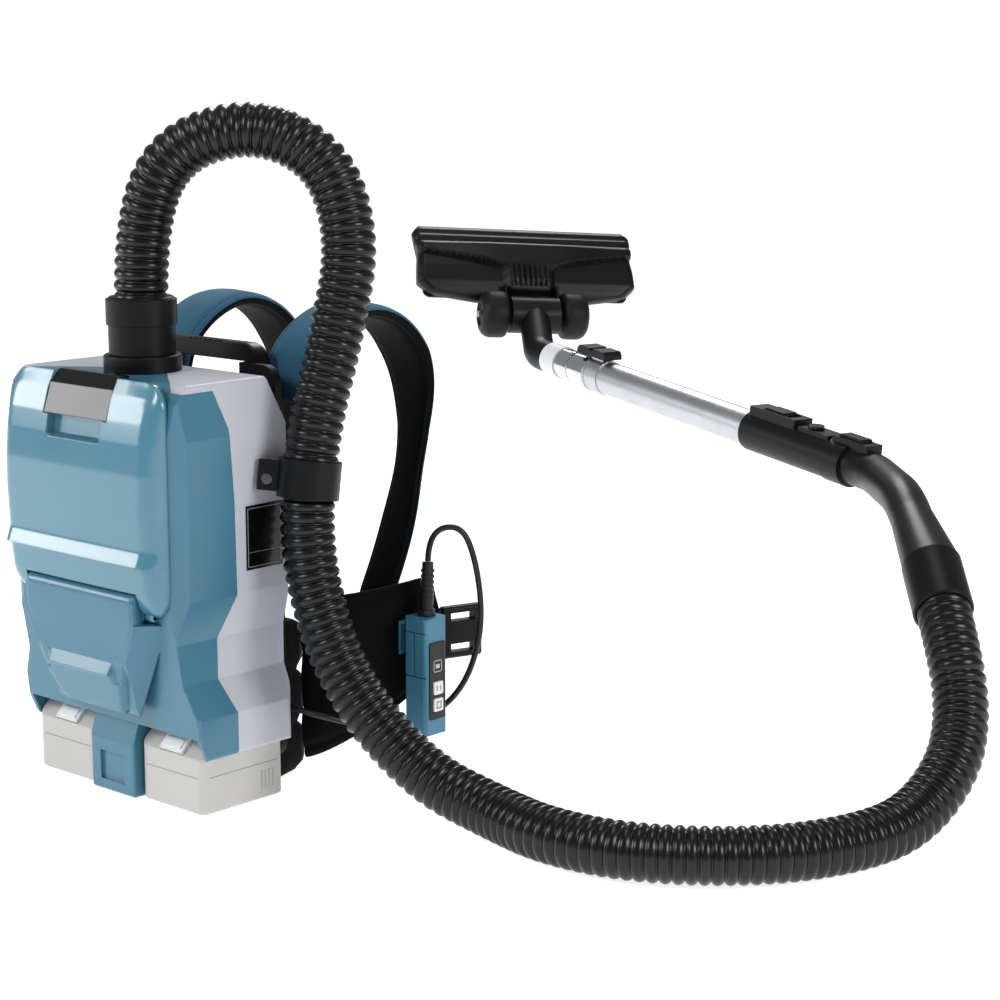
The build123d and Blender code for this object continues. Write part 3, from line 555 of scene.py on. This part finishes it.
hoseLook = {"pitch": 9.1, "band": 18.6, "rib": 21.55, "steps": 12, "around": 44}
hoseRoute = [
    (0, -4, 384.3), (0, -4, 450), (26, 6, 514), (76, 50, 535), (126, 82, 508),
    (147, 88, 445), (143, 72, 372), (139, 50, 300), (139, 39, 225), (152, 40, 158),
    (185, 47, 92), (243, 63, 38), (312, 71, 21.6), (375, 57, 21.6), (447, 70, 21.6),
    (517, 124, 21.6), (552, 192, 21.6), (565, 251, 27), (571, 297, 60), (557, 330, 96),
    (537.7, 344.3, 139.1), (508.2, 373.8, 164.8),
]
hoseSpots, hoseLength = evenSpots(followLine(hoseRoute), hoseLook["pitch"] / 1000 / hoseLook["steps"])


def hoseRadius(i):
    s = (i % hoseLook["steps"]) / hoseLook["steps"]
    rib = max(0, math.sin(math.pi * s)) ** 0.75
    return (hoseLook["band"] + (hoseLook["rib"] - hoseLook["band"]) * rib) / 1000


hoseMesh = tubeMesh("hoseCorrugated", hoseSpots, hoseRadius, hoseLook["around"])
hose = put("hoseCorrugated", hoseMesh, "base", [hoseBlack])
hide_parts("hose")
print("hose made,", round(hoseLength, 3), "m")

# the controller's cable

cableRoute = [
    (168.97, 146.05, 184.4), (165.8, 150.5, 208), (185.5, 168.5, 214), (194.5, 176.5, 182),
    (198, 180, 134), (191, 175, 94), (176, 168, 66), (156, 160, 50), (150, 137, 43),
    (146, 112, 47), (140, 84, 57), (127, 57.5, 67), (101.9, 56.5, 68),
]
cable = linked("controlCable", splineCurve("controlCable", inMetres(cableRoute), 0.0025))
cable.data.materials.append(cableBlack)
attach(cable, "base")
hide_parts("controller_cable")
print("cable made")

# the shoulder straps

strapLook = {
    "line": [(82, 313), (84, 334), (96, 356), (120, 374), (152, 384), (188, 374), (214, 349), (227, 318),
             (228, 280), (222, 245), (211, 205), (194, 162), (176, 129)],
    "middle": 75.5, "wide": 57, "tail": 36, "pinch": 29, "pinchAt": (243, 34), "thick": 11,
    "around": 48, "step": 3.0,
}


def strapWidth(z, t):
    look = strapLook
    if t < 0.45:
        return look["wide"]
    pinchZ, pinchRun = look["pinchAt"]
    near = math.exp(-((z - pinchZ) / pinchRun) ** 2)
    tail = look["tail"] + (look["wide"] - look["tail"]) * min(1, max(0, (0.62 - t) / 0.17))
    return tail - (tail - look["pinch"]) * near


def ribbonMesh(name, spots, normals, widths, thick, across, around, crown=0.25, groove=0.10):
    verts = []
    count = len(spots)
    for i, (spot, up, w) in enumerate(zip(spots, normals, widths)):
        endFade = min(1.0, 0.55 + 0.45 * min(i, count - 1 - i) / 4)
        for k in range(around):
            a = 2 * math.pi * k / around
            c, n = math.cos(a), math.sin(a)
            x = math.copysign(abs(c) ** 0.42, c)
            y = math.copysign(abs(n) ** 0.6, n)
            seam = math.exp(-((abs(x) - 0.80) / 0.06) ** 2)
            puff = 1 + crown * (1 - x * x) - groove * 2.2 * seam
            wave = 0.35 * math.sin(i * 0.55 + 2.0 * x) * (1 - abs(x)) if n > 0 else 0
            height = y * thick / 2 * puff * endFade + wave
            verts.append((spot + across * (x * w / 2 / 1000) + up * (height / 1000)))
    marks = [0 if k + 0.5 < around / 2 else 1 for k in range(around)] * (count - 1) + [1, 1]
    return meshFrom(name, verts, ringFaces(0, count, around, inward=True), marks)


# a line along the strap, at a part of its half width and above its middle
def lineOn(spots, normals, widths, across, side, lift):
    return [s + across * (side * w / 2 / 1000) + n * (lift / 1000)
            for s, n, w in zip(spots, normals, widths)]


def edgePiping(name, line, radius, body, finish):
    data = splineCurve(name, line, radius / 1000, 12, 3)
    piping = linked(name, data)
    data.materials.append(finish)
    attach(piping, body)
    return piping


def stitchRow(name, line, normals, body, finish, step=4.6, dash=2.9, wide=0.00035, tall=0.0003):
    verts = []
    faces = []
    places, total = evenSpots(line, step / 1000)
    for i in range(1, len(places) - 1):
        ahead = (places[i + 1] - places[i - 1]).normalized()
        up = normals[min(len(normals) - 1, round(i * (len(normals) - 1) / (len(places) - 1)))]
        cross = ahead.cross(up).normalized()
        base = len(verts)
        for a in (-1, 1):
            for c in (-1, 1):
                for u in (-1, 1):
                    verts.append(places[i] + ahead * (a * dash / 2000) + cross * (c * wide)
                                 + up * (u * tall - tall / 2))
        for f in ((0, 1, 3, 2), (4, 6, 7, 5), (0, 4, 5, 1), (2, 3, 7, 6), (0, 2, 6, 4), (1, 5, 7, 3)):
            faces.append(tuple(base + v for v in f))
    return put(name, meshFrom(name, verts, faces), body, [finish], smooth=False)


threadDark = pressed("threadDark", "2a3f4c", "1c2c36", 900, 0.7)
for side, sideName in ((-1, "left"), (1, "right")):
    look = strapLook
    route = [(side * look["middle"], y, z) for y, z in look["line"]]
    spots, total = evenSpots(followLine(route, 12), look["step"] / 1000)
    normals = []
    widths = []
    for i, spot in enumerate(spots):
        t = (spots[min(i + 1, len(spots) - 1)] - spots[max(i - 1, 0)]).normalized()
        normals.append(Vector((0, -t.z, t.y)))
        widths.append(strapWidth(spot.z * 1000, i / (len(spots) - 1)))
    across = Vector((1, 0, 0))
    mesh = ribbonMesh(f"strapPad_{sideName}", spots, normals, widths, look["thick"], across,
                      look["around"])
    strap = put(f"strapPad_{sideName}", mesh, "base", [clothTeal, meshBlack])
    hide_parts(f"shoulder_strap_{sideName}")
    for edge in (-1, 1):
        edgeLine = lineOn(spots, normals, widths, across, edge * 0.985, 0)
        edgePiping(f"strapPiping_{sideName}_{edge + 1}", edgeLine, 1.5, "base", meshBlack)
        seamLine = lineOn(spots, normals, widths, across, edge * 0.8, look["thick"] / 2 * 0.82)
        stitchRow(f"strapStitch_{sideName}_{edge + 1}", seamLine, normals, "base", threadDark)
print("straps made")

# the back pad and the belt


padLook = {"cell": 4, "corner": 12, "puff": 0.10, "groove": 0.34, "seam": 4.5, "rim": 2, "back": 0.3,
           "rumple": 0.6}


def cushionMesh(name, low, high, rows, columns):
    look = padLook
    corner, puff, groove = look["corner"], look["puff"], look["groove"]
    sizeX, sizeY, sizeZ = (h - l for l, h in zip(low, high))
    cols = max(8, round(sizeX / look["cell"]))
    lines = max(8, round(sizeZ / look["cell"]))
    verts = []
    faces = []
    marks = []

    def crown(u, v):
        ex = min(u, 1 - u) * sizeX
        ez = min(v, 1 - v) * sizeZ
        inX, inZ = min(1, ex / corner), min(1, ez / corner)
        edge = inX * inZ
        rounded = math.sqrt(max(0, 1 - (1 - inX) ** 2)) * math.sqrt(max(0, 1 - (1 - inZ) ** 2))
        cut = 0
        for r in range(1, rows):
            cut = max(cut, math.exp(-(((v - r / rows) * sizeZ) / look["seam"]) ** 2))
        for c in range(1, columns):
            cut = max(cut, math.exp(-(((u - c / columns) * sizeX) / look["seam"]) ** 2))
        swell = abs(math.sin(math.pi * v * rows)) ** 0.5 * abs(math.sin(math.pi * u * columns)) ** 0.5
        return rounded * (1 - groove * cut * edge) + puff * (swell - 1) * edge * 0.5

    for j in range(lines + 1):
        for i in range(cols + 1):
            u, v = i / cols, j / lines
            depth = crown(u, v)
            rumple = look["rumple"] * noise.noise(Vector((u * 9, v * 14, 3.1)))
            y = low[1] + look["rim"] + (sizeY - look["rim"]) * depth + rumple * (depth > 0.2)
            verts.append(((low[0] + u * sizeX) / 1000, min(y, high[1] + 1) / 1000,
                          (low[2] + v * sizeZ) / 1000))
    front = len(verts)
    for j in range(lines + 1):
        for i in range(cols + 1):
            verts.append(((low[0] + i / cols * sizeX) / 1000, (low[1] + look["back"]) / 1000,
                          (low[2] + j / lines * sizeZ) / 1000))
    row = cols + 1
    for j in range(lines):
        for i in range(cols):
            a = j * row + i
            faces.append((a, a + row, a + row + 1, a + 1))
            marks.append(0)
            b = front + a
            faces.append((b, b + 1, b + row + 1, b + row))
            marks.append(1)
    for i in range(cols):
        for a, flip in ((i, False), (lines * row + i, True)):
            f = (a, a + 1, front + a + 1, front + a)
            faces.append(tuple(reversed(f)) if flip else f)
            marks.append(1)
    for j in range(lines):
        for a, flip in ((j * row, True), (j * row + cols, False)):
            f = (a, a + row, front + a + row, front + a)
            faces.append(tuple(reversed(f)) if flip else f)
            marks.append(1)
    return meshFrom(name, verts, faces, marks)


upperMesh = cushionMesh("backPadUpper", (-78, 60.3, 136), (78, 84, 312), 4, 2)
upperPad = put("backPadUpper", upperMesh, "base", [meshBlack, padBlack])
lowerMesh = cushionMesh("backPadLower", (-78, 60.3, 0.4), (78, 102, 134), 3, 1)
lowerPad = put("backPadLower", lowerMesh, "base", [meshBlack, padBlack])
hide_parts("back_pad")


beltLook = {"thick": 14, "around": 120, "step": 3, "tipAt": 0.86, "tip": 0.34}


def wingMesh(name, line, bottom, top):
    thick, around, tipAt = beltLook["thick"], beltLook["around"], beltLook["tipAt"]
    spots, total = evenSpots(followLine([(x, y, 0) for x, y in line], 12), beltLook["step"] / 1000)
    verts = []
    count = len(spots)
    for i, spot in enumerate(spots):
        t = (spots[min(i + 1, count - 1)] - spots[max(i - 1, 0)]).normalized()
        out = Vector((t.y, -t.x, 0))
        f = i / (count - 1)
        low = bottom(f)
        high = top(f)
        if f > tipAt:
            shrink = 1 - math.sqrt(max(0, 1 - ((f - tipAt) / (1 - tipAt)) ** 2))
            less = (high - low) * beltLook["tip"] * shrink
            low, high = low + less, high - less
        for k in range(around):
            a = 2 * math.pi * k / around
            c, n = math.cos(a), math.sin(a)
            z = math.copysign(abs(c) ** 0.35, c)
            y = math.copysign(abs(n) ** 0.7, n)
            channel = math.exp(-((abs(z) - 0.33) / 0.055) ** 2)
            channel += 0.8 * math.exp(-((abs(z) - 0.86) / 0.05) ** 2)
            swell = thick / 2 * y * (1 + 0.12 * math.cos(3 * math.pi * z) - 0.30 * channel)
            swell += 0.7 * noise.noise(Vector((f * 7, z * 3, 1.7 + y))) * abs(y)
            height = (low + high) / 2 + z * (high - low) / 2
            verts.append(Vector((spot.x, spot.y, height / 1000)) + out * (swell / 1000))
    return meshFrom(name, verts, ringFaces(0, count, around, inward=True))


rightMesh = wingMesh("beltWing_right", [(80, 93), (100, 97), (121, 110), (139, 131), (150, 152), (156, 169)],
                     lambda f: 14 + 74 * f ** 1.25, lambda f: 149 + 20 * f)
rightWing = put("beltWing_right", rightMesh, "base", [meshBlack])
leftMesh = wingMesh("beltWing_left", [(-81, 93), (-98, 98), (-114, 112), (-126, 132), (-134, 156)],
                    lambda f: 0.6 + 14 * f ** 2, lambda f: 139 - 22 * f)
leftWing = put("beltWing_left", leftMesh, "base", [meshBlack])
for wing, sideName in ((rightWing, "right"), (leftWing, "left")):
    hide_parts(f"waist_belt_{sideName}")
print("pads and belt made")

# boxes with soft edges, for small details


def slabs(name, boxes, body, finish, soft, frameAt=None):
    work = bmesh.new()
    for x0, x1, y0, y1, z0, z1 in boxes:
        made = bmesh.ops.create_cube(work, size=1)["verts"]
        for v in made:
            v.co = Vector((x0 + (v.co.x + 0.5) * (x1 - x0), y0 + (v.co.y + 0.5) * (y1 - y0),
                           z0 + (v.co.z + 0.5) * (z1 - z0))) / 1000
    bmesh.ops.bevel(work, geom=work.edges[:], offset=soft / 1000, segments=2, affect="EDGES", profile=0.5)
    if frameAt is not None:
        for v in work.verts:
            v.co = frameAt @ v.co
    mesh = bpy.data.meshes.new(name)
    work.to_mesh(mesh)
    work.free()
    return put(name, mesh, body, [finish], smooth=False)


# the nozzle: a moulded shell over the sole, its fork and two domed rollers

nozzleAcross = Vector((0.5588, 0.8274, -0.0558)).normalized()
nozzleUp = Vector((0.712, -0.4442, 0.5438)).normalized()
nozzleUp = (nozzleUp - nozzleAcross * nozzleUp.dot(nozzleAcross)).normalized()
nozzleAhead = nozzleUp.cross(nozzleAcross)
nozzlePlace = Matrix.Translation(Vector((-0.2598, 0.7651, 0.3047))) @ Matrix(
    (nozzleAcross, nozzleAhead, nozzleUp)).transposed().to_4x4()
nozzleLook = {
    "profile": [(25, -11.5), (34, -7.5), (44, -4.5), (62, -3), (88, -5.5), (104, -9), (116, -14.5)],
    "hump": 9.5, "humpStart": 24, "humpEnd": 94, "humpRun": 9, "neck": 27, "flare": 52, "flareBy": (96, 27),
    "slots": (-18, -12, -6, 0, 6, 12, 18), "slotRun": (35, 62), "slotDeep": 3.2, "slotHalf": 1.5,
    "beads": [(99, 2.2, 1.5), (109, 2.6, 1.2)],
    "halfWidth": [(25, 60), (33, 112), (44, 124.5), (60, 123.5), (76, 121.8), (92, 124), (106, 125.6),
                  (116, 119)],
    "front": 25, "back": 116, "wide": 250, "rounding": (6, 5), "skirt": -18.5, "cell": 1.25, "thick": 2,
}


def nozzleHeight(x, y):
    look = nozzleLook
    half = along(look["halfWidth"], y)
    z = along(look["profile"], y)
    flareWide, flareRun = look["flareBy"]
    flare = flareWide * ((y - look["flare"]) / flareRun) ** 2.4 if y > look["flare"] else 0
    run = look["humpRun"]
    rise = smoothStep((look["neck"] + flare - abs(x)) / run + 0.35)
    rise *= smoothStep((look["humpEnd"] - y) / run) * smoothStep((y - look["humpStart"]) / run)
    fade = 1 - 0.35 * smoothStep((abs(x) - 40) / 70)
    z += look["hump"] * rise * fade
    for at, wide, tall in look["beads"]:
        z += tall * math.exp(-((y - at) / wide) ** 2)
    low, high = look["slotRun"]
    if low < y < high:
        ends = smoothStep((min(y - low, high - y)) / 1.6)
        for c in look["slots"]:
            z -= look["slotDeep"] * smoothStep((look["slotHalf"] - abs(x - c)) / 0.7 + 0.4) * ends
    edge = min(half - abs(x), look["back"] - y, y - look["front"] + 0.4)
    edgeRun, edgeDrop = look["rounding"]
    inside = min(1, max(0, edge / edgeRun))
    return z - edgeDrop * (1 - math.sqrt(max(0, 1 - (1 - inside) ** 2)))


def nozzleShell():
    look = nozzleLook
    length = look["back"] - look["front"]
    lines = round(length / look["cell"])
    columns = round(look["wide"] / look["cell"])
    verts = []
    for j in range(lines + 1):
        y = look["front"] + length * j / lines
        half = along(look["halfWidth"], y)
        for i in range(columns + 1):
            x = -half + 2 * half * i / columns
            verts.append((x / 1000, y / 1000, nozzleHeight(x, y) / 1000))

    def moveVert(v):
        v.co.z = look["skirt"] / 1000

    return skirted(meshFrom("nozzleShell", verts, sheetFaces(lines, columns)), moveVert, nozzlePlace)


def turned(name, profiles, place, body, finish, around=56):
    verts = []
    faces = []
    for profile in profiles:
        base = len(verts)
        for x, r in profile:
            for k in range(around):
                a = 2 * math.pi * k / around
                verts.append(place @ Vector((x / 1000, r * math.cos(a) / 1000, r * math.sin(a) / 1000)))
        faces += ringFaces(base, len(profile), around)
    mesh = meshFrom(name, verts, faces)
    piece = put(name, mesh, body, [finish])
    mesh.set_sharp_from_angle(angle=math.radians(40))
    return piece


nozzleTop = put("nozzleShell", nozzleShell(), "nozzle", [blackSatin])
thicken(nozzleTop, nozzleLook["thick"], 40)
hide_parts("nozzle_body")
forkArms = [(28.4, 31.2, -7, 36, -12, 7), (-31.2, -28.4, -7, 36, -12, 7)]
fork = slabs("nozzleFork", forkArms, "nozzle", blackSatin, 1.2, nozzlePlace)
axleProfile = [(25, 3.6), (25.4, 4), (63.6, 4), (64, 3.6)]
axles = turned("nozzleAxles", [axleProfile, [(-x, r) for x, r in reversed(axleProfile)]],
               nozzlePlace, "nozzle", plainSteel, 24)
dome = [(32.4, 4.3), (32.4, 22.5), (33.4, 24.6), (35.4, 25.6), (38, 26), (50, 26), (54, 25.2),
        (57.6, 22.9), (60, 19.4), (61.2, 15.5), (61.2, 13.2), (59.4, 12.4), (59.4, 4.3)]
for sign, name in ((-1, "left"), (1, "right")):
    profile = [(sign * x, r) for x, r in (dome if sign > 0 else reversed(dome))]
    roller = turned(f"rollerDomed_{name}", [profile], nozzlePlace, f"{name}_roller", rubberBlack)
    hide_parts(f"roller_{name}")
print("nozzle made")

seamDark = moulded("seamDark", "0b1418", "101a1f", 0.6, gloss=0.2)
markPale = moulded("markPale", "b9bcbd", "c4c7c8", 0.5)
markGrey = moulded("markGrey", "8b8f92", "979b9e", 0.5)
# the controller: seams, an outlined indicator and plain marks on the keys
slabs("controllerSeams", [
    (160.2, 184.1, 126.85, 127.3, 92.0, 92.8), (159.85, 160.3, 127.3, 151.8, 92.0, 92.8),
    (160.2, 183.6, 126.9, 127.3, 128.6, 129.2), (171.6, 172.2, 126.9, 127.3, 92.8, 128.6)],
    "base", seamDark, 0.08)
# on one face: the same depth in x for every box
indicator = [(135.2, 144.8, 105.4, 106.2), (135.2, 144.8, 96.2, 97.0), (135.2, 136.0, 96.2, 106.2),
             (144.0, 144.8, 96.2, 106.2), (137.6, 142.4, 99.4, 102.8)]
slabs("controllerIndicator", [(184.9, 185.25, *box) for box in indicator], "base", markPale, 0.06)
bars = [(137.4, 138.6, 80.8, 85.2), (141.4, 142.6, 80.8, 85.2)]
slabs("keyMarkUpper", [(186.3, 186.6, *box) for box in bars], "key_upper", markGrey, 0.06)
square = [(137.2, 142.8, 71.0, 72.0), (137.2, 142.8, 66.0, 67.0), (137.2, 138.2, 66.0, 72.0),
          (141.8, 142.8, 66.0, 72.0)]
slabs("keyMarkLower", [(186.3, 186.6, *box) for box in square], "key_lower", markGrey, 0.06)
# a blank label's border
border = [(8.5, 43.5, 238.4, 239.0), (8.5, 43.5, 192.0, 192.6), (8.5, 9.1, 192.0, 239.0),
          (42.9, 43.5, 192.0, 239.0), (8.5, 43.5, 203.6, 204.0)]
slabs("labelBorder", [(106.5, 106.75, *box) for box in border], "base", markGrey, 0.05)
batterySeam = (29.6, 30.3)
ribStarts = (20, 24, 28, 32)
for side, sideName in ((-1, "left"), (1, "right")):
    inner, outerX = sorted((side * 29.4, side * 103.6))
    seams = [(inner + 7, outerX - 7, -41.15, -40.8), (inner - 0.15, inner + 0.2, -34, 38),
             (outerX - 0.2, outerX + 0.15, -34, 38), (inner + 7, outerX - 7, 44.4, 44.75)]
    slabs(f"batterySeams_{sideName}", [(*box, *batterySeam) for box in seams],
          f"battery_{sideName}", markGrey, 0.05)
    ribX = (outerX - 0.3, outerX + 0.25) if side > 0 else (inner - 0.25, inner + 0.3)
    slabs(f"batteryRibs_{sideName}", [(*ribX, y, y + 1.6, 8, 24) for y in ribStarts],
          f"battery_{sideName}", paleCase, 0.2)
print("details made")

# camera, light and floor

view = {"place": (1.4355, -1.1749, 0.5771), "tilt": 79.4, "turn": 41.97, "lens": 83.3}
cameraData = bpy.data.cameras.new("camera")
cameraData.lens = view["lens"]
cameraData.sensor_width = 36
cameraData.clip_end = 30
camera = linked("camera", cameraData)
camera.location = view["place"]
camera.rotation_euler = (math.radians(view["tilt"]), 0, math.radians(view["turn"]))
bpy.context.scene.camera = camera

lamps = [
    {"name": "keyLight", "place": (-0.3, -2.0, 1.8), "aim": (0.1, 0.1, 0.2), "size": 0.8, "power": 24},
    {"name": "sideLight", "place": (-2.1, -1.5, 1.05), "aim": (0, 0, 0.2), "size": 0.95, "power": 24},
    {"name": "fillLight", "place": (2.4, 0.3, 1.2), "aim": (0.2, 0.2, 0.2), "size": 0.8, "power": 26},
    {"name": "backLight", "place": (-1.2, 2.0, 1.9), "aim": (0, 0.2, 0.25), "size": 0.8, "power": 22},
    {"name": "topLight", "place": (0.4, 0.3, 2.4), "aim": (0.2, 0.2, 0), "size": 0.9, "power": 10},
]
for lamp in lamps:
    data = bpy.data.lights.new(lamp["name"], "AREA")
    data.shape = "SQUARE"
    data.size = lamp["size"]
    data.energy = lamp["power"]
    light = linked(lamp["name"], data)
    light.location = lamp["place"]
    aim = Vector(lamp["aim"]) - Vector(lamp["place"])
    light.rotation_euler = aim.to_track_quat("-Z", "Y").to_euler()

world = bpy.data.worlds.new("studio")
world.use_nodes = True
paper = (0.98, 0.985, 0.99, 1)
tree = world.node_tree
ambient = tree.nodes["Background"]
ambient.inputs["Color"].default_value = (0.96, 0.98, 1.0, 1)
ambient.inputs["Strength"].default_value = 0.3
sky = tree.nodes.new("ShaderNodeBackground")
sky.inputs["Color"].default_value = paper
sky.inputs["Strength"].default_value = 1.03
ray = tree.nodes.new("ShaderNodeLightPath")
blend = tree.nodes.new("ShaderNodeMixShader")
tree.links.new(ray.outputs["Is Camera Ray"], blend.inputs[0])
tree.links.new(ambient.outputs[0], blend.inputs[1])
tree.links.new(sky.outputs[0], blend.inputs[2])
tree.links.new(blend.outputs[0], tree.nodes["World Output"].inputs[0])
bpy.context.scene.world = world
bpy.context.scene.view_settings.view_transform = "Standard"

floorFinish = pressed("floorPaper", "d9dadb", "d5d6d7", 40, 0.7)
glow = floorFinish.node_tree.nodes["Principled BSDF"]
glow.inputs["Emission Color"].default_value = paper
glow.inputs["Emission Strength"].default_value = 0.84
floorMesh = meshFrom("floor", [(-6, -6, 0), (6, -6, 0), (6, 6, 0), (-6, 6, 0)], [(0, 1, 2, 3)])
floor = linked("floor", floorMesh)
floorMesh.materials.append(floorFinish)
print("camera and light set")
